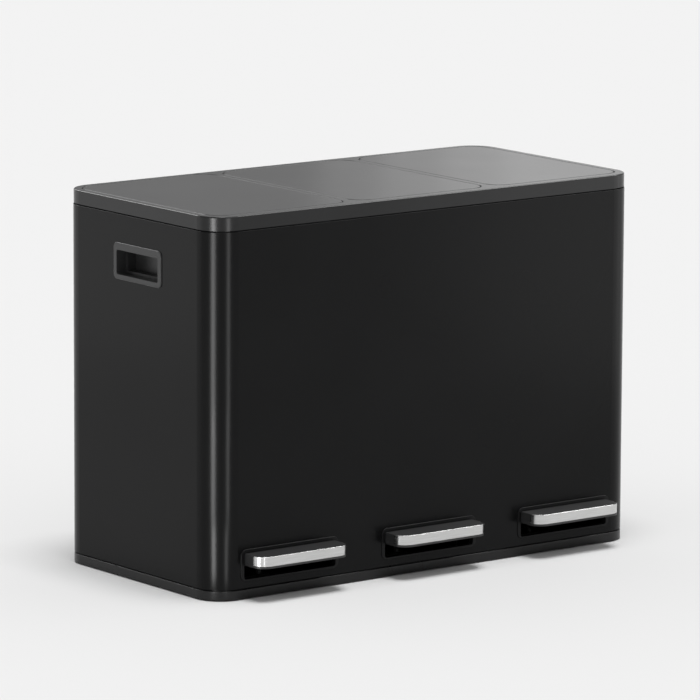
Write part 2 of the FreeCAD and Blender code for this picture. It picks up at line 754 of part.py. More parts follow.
def make_lid_crank(name, side):
    """The bracket under a lid that the push rod lifts by its cross pin."""
    body = new_body(f"lid_crank_{name}")
    ear = "(rod_radius + side_play)"
    foot_low = "liner_low - crank_plate"
    add(body, "XY_Plane", foot_low, "liner_low",
        rectangle("crank_foot", "2 * crank_arm", "crank_plate", y="hinge_y - crank_arm / 2"))
    cut(body, "XY_Plane", foot_low, "liner_low",
        rectangle(f"2 * {ear}", "2 * (crank_arm - crank_wall)", "crank_round", y="hinge_y - crank_arm / 2"))
    for low, high in ((f"-{ear} - crank_plate", f"-{ear}"), (ear, f"{ear} + crank_plate")):
        add(body, "YZ_Plane", low, high,
            polygon(("crank_y - crank_wall - crank_pin", f"{foot_low} + crank_root"),
                    ("crank_y - crank_wall - crank_pin", "crank_z"),
                    ("crank_y - crank_wall / 2", "crank_z - crank_wall - crank_pin / 2"),
                    ("crank_y + crank_wall / 2", "crank_z - crank_wall - crank_pin / 2"),
                    ("hinge_y", f"{foot_low} + crank_root")))
    add(body, "YZ_Plane", f"-{ear} - crank_plate - pin_stand_out", f"{ear} + crank_plate + pin_stand_out",
        circle("crank_pin", "crank_y", "crank_z"))
    return finish(body, side)


def make_lid_bumpers(name, side):
    """Two rubber stops under a lid's front edge."""
    y = "lid_front + lid_skin + bumper_setback + bumper_radius"
    low = "frame_low + ledge_thickness + bumper_play"
    stops = [rod("bumper_radius", f"liner_low - ({low})", f"{hand} * bumper_spread", y, low)
             for hand in (-1, 1)]
    return finish(group(f"lid_bumpers_{name}", stops), side)


def make_lid_hinge_pins():
    """Four pins held in the frame: one in each side border and one through each partition."""
    lug_inner = "(lid_width / 2 - lug_inset - lug_length)"
    pins = []
    for hand in (-1, 1):
        outer_start = f"{hand} * (lid_pitch + {lug_inner})"
        outer_length = f"(width / 2 - side_border + hinge_boss) - (lid_pitch + {lug_inner})"
        start = outer_start if hand > 0 else f"{outer_start} - ({outer_length})"
        pins.append(rod("hinge_pin", outer_length, start, "hinge_y", "hinge_z", "X"))
        half = f"(lid_pitch / 2 - {lug_inner})"
        start = f"{hand} * lid_pitch / 2 - {half}"
        pins.append(rod("hinge_pin", f"2 * {half}", start, "hinge_y", "hinge_z", "X"))
    return finish(group("lid_hinge_pins", pins))


# ---- Push rods and dampers ----

def make_push_rod(name, side):
    """The round rod behind the divider, with a slotted head at the crank and a yoke to the damper."""
    body = new_body(f"push_rod_{name}")
    tip = "lever_top + tip_gap"
    head_low = "crank_z - slot_half_height - slot_wall"
    add(body, "XY_Plane", tip, head_low + " + rod_head_root", circle("rod_radius", y="rod_y"))
    soften(body, "rod_tip_round", lambda edge: at_height(edge, tip))
    add(body, "YZ_Plane", "-rod_head / 2", "rod_head / 2",
        rectangle("2 * (slot_half_length + slot_wall)", "2 * (slot_half_height + slot_wall)", "slot_wall",
                  "rod_y", "crank_z"))
    cut(body, "YZ_Plane", "-rod_head / 2", "rod_head / 2",
        rectangle("2 * slot_half_length", "2 * slot_half_height", "slot_wall / 2", "rod_y", "crank_z"))
    add(body, "XY_Plane", "yoke_z", "yoke_z + yoke_thickness",
        rectangle("damper_offset + 2 * yoke_margin", "yoke_width", "rod_radius",
                  "damper_offset / 2", "(rod_y + damper_y) / 2"))
    return finish(body, side)


def make_rod_guides(name, side):
    """Two plastic guides on the divider that the push rod runs in."""
    guides = []
    for place in ("guide_low", "guide_high"):
        guide = new_body("guide")
        add(guide, "XY_Plane", place, f"{place} + guide_height",
            rectangle("guide_width", "guide_rear - wall_rear", "guide_round",
                      y="(guide_rear + wall_rear) / 2"),
            circle("rod_radius + running", y="rod_y"))
        guides.append(guide)
    return finish(group(f"rod_guides_{name}", guides), side)


def make_damper_cylinder(name, side):
    """The soft-close damper's cylinder, fixed upright behind the divider."""
    body = new_body(f"damper_cylinder_{name}")
    add(body, "XY_Plane", "damper_low", "damper_top",
        circle("damper_radius", "damper_offset", "damper_y"))
    foot = rectangle("damper_foot", "damper_y - wall_rear", "guide_round", "damper_offset",
                     "(damper_y + wall_rear) / 2")
    add(body, "XY_Plane", "damper_low + guide_height", "damper_top - guide_height", foot)
    cut(body, "XY_Plane", "damper_low + guide_height", "damper_top",
        circle("piston_radius + running", "damper_offset", "damper_y"))
    return finish(body, side)


def make_damper_piston(name, side):
    """The damper's piston rod, which hangs from the yoke."""
    start = "damper_top - piston_depth"
    piston = rod("piston_radius", f"yoke_z - ({start})", "damper_offset", "damper_y", start)
    return finish(group(f"damper_piston_{name}", [piston]), side)


# ---- Buckets ----

def make_bucket(name, side):
    """A lift-out bucket: a drafted tub with a wide rim, a turned-down lip and two finger slots."""
    body = new_body(f"bucket_{name}")

    def tub(inset):
        return rectangle(f"bucket_width - 2 * ({inset})", f"bucket_depth - 2 * ({inset})",
                         f"bucket_corner - ({inset})", y="rim_middle")

    rim = rectangle("rim_width", "rim_depth", "bucket_corner + rim_overlap", y="rim_middle")
    lip = rectangle("rim_width - 2 * bucket_wall", "rim_depth - 2 * bucket_wall",
                    "bucket_corner + rim_overlap - bucket_wall", y="rim_middle")
    loft(body, "Additive", "bucket_low", tub("bucket_draft"), "rim_top", tub("0"))
    add(body, "XY_Plane", "rim_top - bucket_floor", "rim_top", rim)
    add(body, "XY_Plane", "rim_top - rim_lip", "rim_top", rim, lip)
    loft(body, "Subtractive", "bucket_low + bucket_floor", tub("bucket_draft + bucket_wall"),
         "rim_top", tub("bucket_wall"))
    finger_x = "(bucket_width / 2 + (rim_width / 2 - bucket_wall)) / 2"
    cut(body, "XY_Plane", "rim_top - bucket_floor - cut_over", "rim_top + cut_over",
        *[rectangle("finger_slot_width", "finger_slot_length", "finger_slot_corner",
                    f"{hand} * ({finger_x})", "rim_middle") for hand in (-1, 1)])
    return finish(body, side)


def build():
    """Make every piece of the bin."""
    make_body_shell()
    make_shell_bands()
    make_base_pan()
    make_rubber_feet()
    make_top_frame()
    make_bucket_platform()
    make_rear_divider()
    make_compartment_divider("left", -1)
    make_compartment_divider("right", 1)
    make_handle_insert("left", turned=False)
    make_handle_insert("right", turned=True)
    make_pedal_pivot_pins()
    make_bracket_screws()
    make_lid_hinge_pins()
    for maker in (make_pedal_bezel, make_pedal_pad, make_pedal_trim, make_pedal_lever, make_pedal_bracket,
                  make_lid_skin, make_lid_liner, make_lid_crank, make_lid_bumpers, make_push_rod,
                  make_rod_guides, make_damper_cylinder, make_damper_piston, make_bucket):
        for name, side in COMPARTMENTS.items():
            maker(name, side)


def export():
    """Recompute, check that nothing failed, and write one STEP file per node."""
    doc.recompute()
    failed = [thing.Name for thing in doc.Objects if {"Invalid", "Error"} & set(thing.State)]
    if failed:
        raise RuntimeError("failed features: " + ", ".join(failed))
    for node in nodes:
        if node.Shape.isNull() or not node.Shape.isValid():
            raise RuntimeError("bad shape: " + node.Label)
    for node in nodes:
        node.Shape.exportStep(f"parts/{node.Label}.step")


sheet = fill_sheet()
build()
export()
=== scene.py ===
"""Studio scene for the three-compartment pedal recycling bin.

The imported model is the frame. Each of its pieces keeps its CAD shape and gets a finish here, or is
replaced by a piece modelled in place. Everything is in metres, +Z up, with the floor at z = 0.
"""
from __future__ import annotations

import json
import logging
import math
from dataclasses import dataclass
from enum import Enum

import bpy
from mathutils import Matrix, Vector


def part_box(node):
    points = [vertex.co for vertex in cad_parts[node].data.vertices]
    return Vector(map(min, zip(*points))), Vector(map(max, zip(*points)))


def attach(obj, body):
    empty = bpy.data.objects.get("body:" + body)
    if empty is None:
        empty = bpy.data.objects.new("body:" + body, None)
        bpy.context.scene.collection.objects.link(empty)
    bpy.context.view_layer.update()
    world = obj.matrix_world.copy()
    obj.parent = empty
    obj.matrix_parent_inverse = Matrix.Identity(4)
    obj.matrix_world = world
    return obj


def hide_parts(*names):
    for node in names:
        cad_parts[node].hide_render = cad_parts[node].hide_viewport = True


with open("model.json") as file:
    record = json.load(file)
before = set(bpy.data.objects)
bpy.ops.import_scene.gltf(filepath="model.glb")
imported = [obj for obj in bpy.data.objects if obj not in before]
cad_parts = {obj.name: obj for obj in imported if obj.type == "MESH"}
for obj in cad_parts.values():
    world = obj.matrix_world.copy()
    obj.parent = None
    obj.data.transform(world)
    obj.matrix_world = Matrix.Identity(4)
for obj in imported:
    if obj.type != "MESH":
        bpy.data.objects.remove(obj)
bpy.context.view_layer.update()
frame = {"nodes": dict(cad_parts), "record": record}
LOG = logging.getLogger("pedal_bin")

GRAIN_OCTAVES = 3.0
DRIFT_SCALE = 9.0
DRIFT_OCTAVES = 2.0
NOISE_RANGE = (0.3, 0.7)

SHARP_EDGE = math.radians(40)
SMOOTH_EDGE = math.radians(35)
EDGE_STEPS = 2
SAME_HEIGHT = 1e-5


class Side(Enum):
    """The three compartments, by their place along the bin."""

    LEFT = "left"
    MIDDLE = "middle"
    RIGHT = "right"


class Surface(Enum):
    """How a finish's fine relief is made."""

    POWDER_COAT = "powder_coat"
    MOULDED = "moulded"
    BRUSHED = "brushed"
    PLATED = "plated"


@dataclass(frozen=True)
class Finish:
    """A named finish: its colour, gloss and fine relief."""

    name: str
    colour: tuple[float, float, float]
    surface: Surface
    roughness: float
    metallic: float = 0.0
    ior: float = 1.45
    grain_size: float = 0.0006
    grain_height: float = 0.00002
    colour_spread: float = 0.12
    roughness_spread: float = 0.06
    brushed_axis: tuple[float, float, float] = (0.02, 1.0, 1.0)

    def build(self) -> bpy.types.Material:
        """Make the node material.

        Returns:
            The material, ready to go in a slot.
        """
        material = bpy.data.materials.new(self.name)
        material.use_nodes = True
        nodes, links = material.node_tree.nodes, material.node_tree.links
        shader = nodes["Principled BSDF"]
        shader.inputs["Metallic"].default_value = self.metallic
        shader.inputs["IOR"].default_value = self.ior
        place = nodes.new("ShaderNodeTexCoord")
        scale = nodes.new("ShaderNodeMapping")
        links.new(place.outputs["Object"], scale.inputs["Vector"])
        if self.surface is Surface.BRUSHED:
            scale.inputs["Scale"].default_value = self.brushed_axis
        grain = self._noise(nodes, 1.0 / self.grain_size, GRAIN_OCTAVES)
        drift = self._noise(nodes, DRIFT_SCALE, DRIFT_OCTAVES)
        links.new(scale.outputs["Vector"], grain.inputs["Vector"])
        links.new(place.outputs["Object"], drift.inputs["Vector"])
        self._spread_colour(material.node_tree, drift, grain, shader)
        self._spread_roughness(material.node_tree, drift, grain, shader)
        bump = nodes.new("ShaderNodeBump")
        bump.inputs["Strength"].default_value = 1.0
        bump.inputs["Distance"].default_value = self.grain_height
        links.new(grain.outputs["Fac"], bump.inputs["Height"])
        links.new(bump.outputs["Normal"], shader.inputs["Normal"])
        return material

    @staticmethod
    def _noise(nodes: bpy.types.Nodes, scale: float, detail: float) -> bpy.types.Node:
        """A noise texture node.

        Args:
            nodes: The material's nodes.
            scale: Repeats for each metre.
            detail: How many octaves it has.

        Returns:
            The node.
        """
        noise = nodes.new("ShaderNodeTexNoise")
        noise.inputs["Scale"].default_value = scale
        noise.inputs["Detail"].default_value = detail
        return noise

    def _spread_colour(self, tree: bpy.types.NodeTree, drift: bpy.types.Node, grain: bpy.types.Node,
                       shader: bpy.types.Node) -> None:
        """Vary the colour a little over the surface.

        Args:
            tree: The material's node tree.
            drift: The broad noise.
            grain: The fine noise.
            shader: The surface that takes the colour.
        """
        ramp = tree.nodes.new("ShaderNodeValToRGB")
        low, high = 1.0 - self.colour_spread, 1.0 + self.colour_spread
        for stop, place, level in zip(ramp.color_ramp.elements, NOISE_RANGE, (low, high)):
            stop.position = place
            stop.color = (*[part * level for part in self.colour], 1.0)
        source = drift if self.surface is Surface.POWDER_COAT else grain
        tree.links.new(source.outputs["Fac"], ramp.inputs["Fac"])
        tree.links.new(ramp.outputs["Color"], shader.inputs["Base Color"])

    def _spread_roughness(self, tree: bpy.types.NodeTree, drift: bpy.types.Node, grain: bpy.types.Node,
                          shader: bpy.types.Node) -> None:
        """Vary the roughness a little over the surface.

        Args:
            tree: The material's node tree.
            drift: The broad noise.
            grain: The fine noise.
            shader: The surface that takes the roughness.
        """
        spread = tree.nodes.new("ShaderNodeMapRange")
        spread.inputs["From Min"].default_value = NOISE_RANGE[0]
        spread.inputs["From Max"].default_value = NOISE_RANGE[1]
        spread.inputs["To Min"].default_value = self.roughness - self.roughness_spread
        spread.inputs["To Max"].default_value = self.roughness + self.roughness_spread
        source = grain if self.surface in (Surface.BRUSHED, Surface.PLATED) else drift
        tree.links.new(source.outputs["Fac"], spread.inputs["Value"])
        tree.links.new(spread.outputs["Result"], shader.inputs["Roughness"])


PAINT = Finish("satin_powder_coat", (0.0045, 0.0046, 0.0048), Surface.POWDER_COAT, 0.24, ior=1.22,
               grain_size=0.0009, grain_height=0.000004, roughness_spread=0.01)
FRAME_PAINT = Finish("satin_frame_enamel", (0.014, 0.0142, 0.0145), Surface.POWDER_COAT, 0.26, ior=1.35,
                     grain_size=0.0009, grain_height=0.000004, roughness_spread=0.01)
LID_PAINT = Finish("satin_lid_enamel", (0.012, 0.012, 0.0125), Surface.POWDER_COAT, 0.22, ior=1.28,
                   grain_size=0.0009, grain_height=0.000003, roughness_spread=0.01)
BASE_PLASTIC = Finish("satin_base_plastic", (0.007, 0.007, 0.0072), Surface.MOULDED, 0.3, ior=1.38,
                      grain_size=0.0007, grain_height=0.000008)
INSERT_PLASTIC = Finish("grey_insert_plastic", (0.035, 0.035, 0.0355), Surface.MOULDED, 0.34, ior=1.4,
                        grain_size=0.0007, grain_height=0.000008)
BLACK_PLASTIC = Finish("black_moulded_plastic", (0.006, 0.006, 0.0062), Surface.MOULDED, 0.4, ior=1.25,
                       grain_size=0.0007, grain_height=0.00001)
PEDAL_PLASTIC = Finish("dark_grey_moulded_plastic", (0.03, 0.03, 0.0305), Surface.MOULDED, 0.42,
                       grain_size=0.0007, grain_height=0.00003)
TRIM = Finish("satin_bright_trim", (0.6, 0.6, 0.595), Surface.BRUSHED, 0.2, metallic=1.0,
              grain_size=0.0008, grain_height=0.000004, brushed_axis=(0.02, 0.02, 1.0))
ZINC = Finish("zinc_plated_steel", (0.56, 0.56, 0.55), Surface.PLATED, 0.33, metallic=1.0,
              grain_size=0.004, grain_height=0.00001)
BLACK_STEEL = Finish("black_phosphated_steel", (0.012, 0.012, 0.0125), Surface.PLATED, 0.45,
                     grain_size=0.003, grain_height=0.00001)
BUCKET = Finish("dark_grey_polypropylene", (0.055, 0.056, 0.058), Surface.MOULDED, 0.4,
                grain_size=0.0012, grain_height=0.00004)
GUIDE = Finish("natural_white_plastic", (0.5, 0.5, 0.48), Surface.MOULDED, 0.42)
DAMPER = Finish("grey_damper_plastic", (0.1, 0.1, 0.105), Surface.MOULDED, 0.35)
RUBBER = Finish("black_rubber", (0.012, 0.012, 0.012), Surface.MOULDED, 0.75, grain_size=0.0012,
                grain_height=0.00005)

SLOT_FINISHES = {
    "painted_steel": PAINT,
    "black_plastic": BLACK_PLASTIC,
    "liner_plastic": BLACK_PLASTIC,
    "pedal_plastic": PEDAL_PLASTIC,
    "bright_trim": TRIM,
    "zinc_steel": ZINC,
    "black_steel": BLACK_STEEL,
    "bucket_plastic": BUCKET,
    "guide_plastic": GUIDE,
    "damper_plastic": DAMPER,
    "rubber": RUBBER,
}

NODE_FINISHES = {
    "top_frame": FRAME_PAINT,
    "base_pan": BASE_PLASTIC,
    "handle_insert_left": INSERT_PLASTIC,
    "handle_insert_right": INSERT_PLASTIC,
    "lid_skin_left": LID_PAINT,
    "lid_skin_middle": LID_PAINT,
    "lid_skin_right": LID_PAINT,
}


class Palette:
    """The finishes' materials, each made once."""

    made: dict[str, bpy.types.Material] = {}

    @classmethod
    def coat(cls, piece: bpy.types.Object, finish: Finish) -> None:
        """Give a piece a finish.

        Args:
            piece: The piece.
            finish: Its finish.
        """
        if finish.name not in cls.made:
            cls.made[finish.name] = finish.build()
        piece.data.materials.clear()
        piece.data.materials.append(cls.made[finish.name])


class CarriedParts:
    """The CAD nodes that keep their own shape, each dressed in its slot's finish."""

    def dress(self) -> None:
        """Give every CAD node its finish."""
        for entry in frame["record"]["subparts"]:
            node = frame["nodes"][entry["node"]]
            finish = NODE_FINISHES.get(node.name, SLOT_FINISHES[entry["material_slot"]])
            Palette.coat(node, finish)
            LOG.info("%s dressed in %s", node.name, finish.name)


class Shaper:
    """Shapes a piece from primitives with the modelling operators."""

    @staticmethod
    def block(name: str, low: Vector, high: Vector) -> bpy.types.Object:
        """A box between two corners.

        Args:
            name: The piece's name.
            low: Its lowest corner.
            high: Its highest corner.

        Returns:
            The box.
        """
        bpy.ops.mesh.primitive_cube_add(size=1.0, location=(low + high) / 2)
        piece = bpy.context.object
        piece.name = name
        piece.scale = high - low
        bpy.ops.object.transform_apply(location=True, rotation=True, scale=True)
        return piece

    @classmethod
    def tile(cls, name: str, low: Vector, high: Vector, radius: float, steps: int = 8) -> bpy.types.Object:
        """A box whose upright edges are rounded.

        Args:
            name: The piece's name.
            low: Its lowest corner.
            high: Its highest corner.
            radius: The radius of its upright edges.
            steps: How many facets each rounded edge has.

        Returns:
            The rounded box.
        """
        piece = cls.block(name, low, high)
        points = piece.data.vertices
        for edge in piece.data.edges:
            start, end = (points[index].co for index in edge.vertices)
            edge.select = abs(start.z - end.z) > abs(start.xy.length - end.xy.length) and start.xy == end.xy
        for face in piece.data.polygons:
            face.select = False
        bpy.context.tool_settings.mesh_select_mode = (False, True, False)
        bpy.ops.object.mode_set(mode="EDIT")
        bpy.ops.mesh.bevel(offset=radius, segments=steps, affect="EDGES")
        bpy.ops.object.mode_set(mode="OBJECT")
        return piece

    @staticmethod
    def rod(name: str, radius: float, foot: Vector, height: float, steps: int = 48) -> bpy.types.Object:
        """An upright cylinder.

        Args:
            name: The piece's name.
            radius: Its radius.
            foot: The middle of its lower end.
            height: Its height.
            steps: How many facets it has round it.

        Returns:
            The cylinder.
        """
        middle = foot + Vector((0.0, 0.0, height / 2))
        bpy.ops.mesh.primitive_cylinder_add(radius=radius, depth=height, vertices=steps, location=middle)
        piece = bpy.context.object
        piece.name = name
        bpy.ops.object.transform_apply(location=True, rotation=True, scale=True)
        return piece

    @staticmethod
    def taper(piece: bpy.types.Object, inset: float) -> None:
        """Draw the foot of a piece in on all sides, the top staying as it is.

        Args:
            piece: The piece.
            inset: How far each side comes in at the foot.
        """
        points = piece.data.vertices
        foot = min(point.co.z for point in points)
        spots = [point for point in points if point.co.z < foot + SAME_HEIGHT]
        low = Vector((min(spot.co.x for spot in spots), min(spot.co.y for spot in spots)))
        high = Vector((max(spot.co.x for spot in spots), max(spot.co.y for spot in spots)))
        middle, half = (low + high) / 2, (high - low) / 2
        for spot in spots:
            spot.co.x = middle.x + (spot.co.x - middle.x) * (1.0 - inset / half.x)
            spot.co.y = middle.y + (spot.co.y - middle.y) * (1.0 - inset / half.y)

    @staticmethod
    def modify(piece: bpy.types.Object, kind: str, **settings) -> None:
        """Put a modifier on a piece and apply it.

        Args:
            piece: The piece.
            kind: The modifier's type.
            **settings: The modifier's settings.
        """
        bpy.context.view_layer.objects.active = piece
        modifier = piece.modifiers.new(kind.lower(), kind)
        for setting, amount in settings.items():
            setattr(modifier, setting, amount)
        bpy.ops.object.modifier_apply(modifier=modifier.name)

    @classmethod
    def combine(cls, piece: bpy.types.Object, other: bpy.types.Object, operation: str) -> None:
        """Join another piece to a piece, or cut it from it.

        Args:
            piece: The piece that stays.
            other: The piece that is used up.
            operation: UNION or DIFFERENCE.
        """
        cls.modify(piece, "BOOLEAN", object=other, operation=operation, solver="EXACT")
        bpy.data.objects.remove(other)

    @classmethod
    def soften(cls, piece: bpy.types.Object, width: float) -> None:
        """Round a piece's sharp edges and smooth its shading.

        Args:
            piece: The piece.
            width: How wide each rounded edge is.
        """
        cls.modify(piece, "BEVEL", width=width, segments=EDGE_STEPS, limit_method="ANGLE",
                   angle_limit=SHARP_EDGE, use_clamp_overlap=True)
        bpy.ops.object.select_all(action="DESELECT")
        piece.select_set(True)
        bpy.ops.object.shade_smooth_by_angle(angle=SMOOTH_EDGE)
        piece.select_set(False)

    @staticmethod
    def settle(piece: bpy.types.Object, finish: Finish, body: str, slot: str, *nodes: str) -> None:
        """Dress a finished piece and hand it to its body.

        Args:
            piece: The piece.
            finish: Its finish.
            body: The body that it rides on.
            slot: The record's material slot; not used.
            *nodes: The CAD nodes that it stands for.
        """
        Palette.coat(piece, finish)
        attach(piece, body)
        if nodes:
            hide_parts(*nodes)
        LOG.info("%s rides on %s", piece.name, body)


@dataclass
class Bucket:
    """A lift-out bucket: a drafted tub, a rim with a turned-down lip, finger slots and moulded bands."""

    side: Side
    wall: float = 0.0018
    floor: float = 0.002
    draft: float = 0.004
    corner: float = 0.02
    rim_spread: float = 0.002
    flange: tuple[float, float] = (0.0146, 0.002)
    lip: float = 0.008
    slot: tuple[float, float] = (0.01, 0.08)
    slot_corner: float = 0.0047
    slot_steps: int = 6
    bands: tuple[float, float] = (0.035, 0.06)
    band_height: float = 0.004
    band_proud: float = 0.0008
    edge: float = 0.0006

    def build(self) -> None:
        """Model the bucket in place of its CAD solid."""
        name = f"bucket_{self.side.value}"
        low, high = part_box(name)
        rim = Shaper.tile(f"{name}_moulded", Vector((low.x, low.y, high.z - self.lip)), high,
                          self.corner + self.rim_spread)
        wall = Vector((self.wall, self.wall, 0.0))
        under = Shaper.tile("under", Vector((low.x, low.y, high.z - 2 * self.lip)) + wall,
                            Vector((high.x, high.y, high.z - self.floor)) - wall, self.corner)
        Shaper.combine(rim, under, "DIFFERENCE")
        inset = Vector((*self.flange, 0.0))
        tub = Shaper.tile("tub", low + inset, high - inset, self.corner)
        Shaper.taper(tub, self.draft)
        Shaper.combine(rim, tub, "UNION")
        for drop in self.bands:
            self._add_band(rim, low + inset, high - inset, drop)
        hollow = Shaper.tile("hollow", low + inset + wall + Vector((0.0, 0.0, self.floor)),
                             high - inset - wall + Vector((0.0, 0.0, self.floor)), self.corner - self.wall)
        Shaper.taper(hollow, self.draft)
        Shaper.combine(rim, hollow, "DIFFERENCE")
        middle = (low + high) / 2
        across = (high.x - low.x) / 2 - (self.flange[0] + self.wall) / 2
        reach = Vector((self.slot[0] / 2, self.slot[1] / 2, self.lip / 2))
        for hand in (-1, 1):
            spot = Vector((middle.x + hand * across, middle.y, high.z))
            hole = Shaper.tile("finger_slot", spot - reach, spot + reach, self.slot_corner, self.slot_steps)
            Shaper.combine(rim, hole, "DIFFERENCE")
        Shaper.soften(rim, self.edge)
        Shaper.settle(rim, BUCKET, name, "bucket_plastic", name)

    def _add_band(self, rim: bpy.types.Object, low: Vector, high: Vector, drop: float) -> None:
        """Mould a raised band round the tub.

        Args:
            rim: The bucket so far.
            low: The tub's lowest corner.
            high: The tub's highest corner.
            drop: How far the band is under the rim.
        """
        inset = self.draft * drop / (high.z - low.z) - self.band_proud
        side = Vector((inset, inset, 0.0))
        band = Shaper.tile("band", Vector((low.x, low.y, high.z - drop - self.band_height)) + side,
                           Vector((high.x, high.y, high.z - drop)) - side, self.corner)
        Shaper.combine(rim, band, "UNION")


@dataclass
class LidRibs:
    """The stiffening ribs moulded under a lid's liner."""

    side: Side
    sheet: float = 0.0025
    depth: float = 0.0035
    width: float = 0.0016
    margin: tuple[float, float, float] = (0.014, 0.016, 0.056)
    corner: float = 0.012
    rungs: int = 5
    rails: int = 3
    clear: float = 0.001
    bite: float = 0.0005
    edge: float = 0.0004

    def build(self) -> None:
        """Model the ribs under the liner."""
        low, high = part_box(f"lid_liner_{self.side.value}")
        top = high.z - self.sheet
        start = Vector((low.x + self.margin[0], low.y + self.margin[1], top - self.depth))
        end = Vector((high.x - self.margin[0], high.y - self.margin[2], top))
        ribs = Shaper.tile(f"liner_ribs_{self.side.value}", start, end, self.corner)
        wall = Vector((self.width, self.width, 0.0))
        hollow = Shaper.tile("hollow", start + wall - Vector((0.0, 0.0, self.clear)),
                             end - wall + Vector((0.0, 0.0, self.clear)), self.corner - self.width)
        Shaper.combine(ribs, hollow, "DIFFERENCE")
        for rung in range(1, self.rungs + 1):
            y = start.y + (end.y - start.y) * rung / (self.rungs + 1)
            bar = Shaper.block("rung", Vector((start.x + self.bite, y - self.width / 2, start.z)),
                               Vector((end.x - self.bite, y + self.width / 2, end.z)))
            Shaper.combine(ribs, bar, "UNION")
        for rail in range(1, self.rails + 1):
            x = start.x + (end.x - start.x) * rail / (self.rails + 1)
            bar = Shaper.block("rail", Vector((x - self.width / 2, start.y + self.bite, start.z)),
                               Vector((x + self.width / 2, end.y - self.bite, end.z)))
            Shaper.combine(ribs, bar, "UNION")
        Shaper.soften(ribs, self.edge)
        Shaper.settle(ribs, BLACK_PLASTIC, f"lid_{self.side.value}", "liner_plastic")


@dataclass
class Damper:
    """A soft-close damper's cylinder: a barrel between two collars, on a moulded foot."""

    side: Side
    radius: float = 0.008
    barrel: float = 0.0072
    collar: float = 0.007
    collar_edge: float = 0.0008
    rings: int = 3
    ring_drop: float = 0.003
    ring_pitch: float = 0.0022
    ring_height: float = 0.0011
    ring_proud: float = 0.0004
    foot: tuple[float, float] = (0.01, 0.014)
    foot_corner: float = 0.001
    foot_steps: int = 3
    bore: float = 0.0026
    edge: float = 0.0003

    def build(self) -> None:
        """Model the damper in place of its CAD solid."""
        name = f"damper_cylinder_{self.side.value}"
        low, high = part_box(name)
        axis = Vector(((low.x + high.x) / 2, high.y - self.radius, low.z))
        damper = Shaper.rod(f"{name}_turned", self.barrel, axis, high.z - low.z)
        for start in (low.z, high.z - self.collar):
            collar = Shaper.rod("collar", self.radius, Vector((axis.x, axis.y, start)), self.collar)
            Shaper.soften(collar, self.collar_edge)
            Shaper.combine(damper, collar, "UNION")
        for step in range(self.rings):
            start = high.z - self.collar - self.ring_drop - self.ring_pitch * step
            ring = Shaper.rod("ring", self.barrel + self.ring_proud, Vector((axis.x, axis.y, start)),
                              self.ring_height)
            Shaper.combine(damper, ring, "UNION")
        foot = Shaper.tile("foot", Vector((axis.x - self.foot[0] / 2, low.y, low.z + self.foot[1])),
                           Vector((axis.x + self.foot[0] / 2, axis.y, high.z - self.foot[1])),
                           self.foot_corner, self.foot_steps)
        Shaper.combine(damper, foot, "UNION")
        bore = Shaper.rod("bore", self.bore, Vector((axis.x, axis.y, low.z + self.foot[1])), high.z - low.z)
        Shaper.combine(damper, bore, "DIFFERENCE")
        Shaper.soften(damper, self.edge)
        Shaper.settle(damper, DAMPER, "cabinet", "damper_plastic", name)


@dataclass
class RearSeam:
    """The lapped seam of the steel wrap, down its back, with its row of spot welds."""

    place: float = 0.19
    width: float = 0.016
    proud: float = 0.0006
    setback: float = 0.003
    weld_radius: float = 0.0026
    weld_pitch: float = 0.03
    weld_facets: tuple[int, int] = (20, 10)
    edge: float = 0.0002

    def build(self) -> None:
        """Model the seam on the back of the wrap."""
        low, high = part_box("body_shell")
        start = Vector((self.place, high.y - self.proud / 2, low.z + self.setback))
        end = Vector((self.place + self.width, high.y + self.proud, high.z - self.setback))
        seam = Shaper.block("rear_seam", start, end)
        count = int((end.z - start.z) / self.weld_pitch)
        first = (end.z + start.z - (count - 1) * self.weld_pitch) / 2
        for weld in range(count):
            spot = Vector((self.place + self.width / 2, end.y, first + weld * self.weld_pitch))
            bpy.ops.mesh.primitive_uv_sphere_add(radius=1.0, segments=self.weld_facets[0],
                                                 ring_count=self.weld_facets[1], location=spot)
            dimple = bpy.context.object
            dimple.scale = (self.weld_radius, self.proud / 2, self.weld_radius)
            bpy.ops.object.transform_apply(location=True, rotation=True, scale=True)
            Shaper.combine(seam, dimple, "DIFFERENCE")
        Shaper.soften(seam, self.edge)
        Shaper.settle(seam, PAINT, "cabinet", "painted_steel")


@dataclass(frozen=True)
class Card:
    """A soft panel of light: where it stands, what it faces, its size and how bright it is."""

    name: str
    place: tuple[float, float, float]
    aim: tuple[float, float, float]
    size: tuple[float, float]
    radiance: float
    spread: float = math.pi

    def hang(self) -> None:
        """Hang the card where only glossy surfaces pick it up."""
        light = bpy.data.lights.new(self.name, "AREA")
        light.shape = "RECTANGLE"
        light.size, light.size_y = self.size
        light.energy = self.radiance * self.size[0] * self.size[1] * math.pi
        light.spread = self.spread
        if self.spread < math.pi:
            # A narrowed card keeps its power and grows brighter head-on, so the power comes down to match.
            half = self.spread / 2
            light.energy *= 1.0 - half / math.tan(half)
        card = bpy.data.objects.new(self.name, light)
        bpy.context.scene.collection.objects.link(card)
        card.location = self.place
        facing = Vector(self.aim) - Vector(self.place)
        card.rotation_euler = facing.to_track_quat("-Z", "Y").to_euler()
        card.visible_camera = False
        card.visible_diffuse = False


CORNER = Vector((-0.3, -0.131, 0.0))
# For each strip: its turn round the corner in degrees, how many times broader it is, its radiance.
STRIP_TURNS = {"left": (67.0, 1.8, 23.0), "front": (5.0, 1.2, 9.5)}
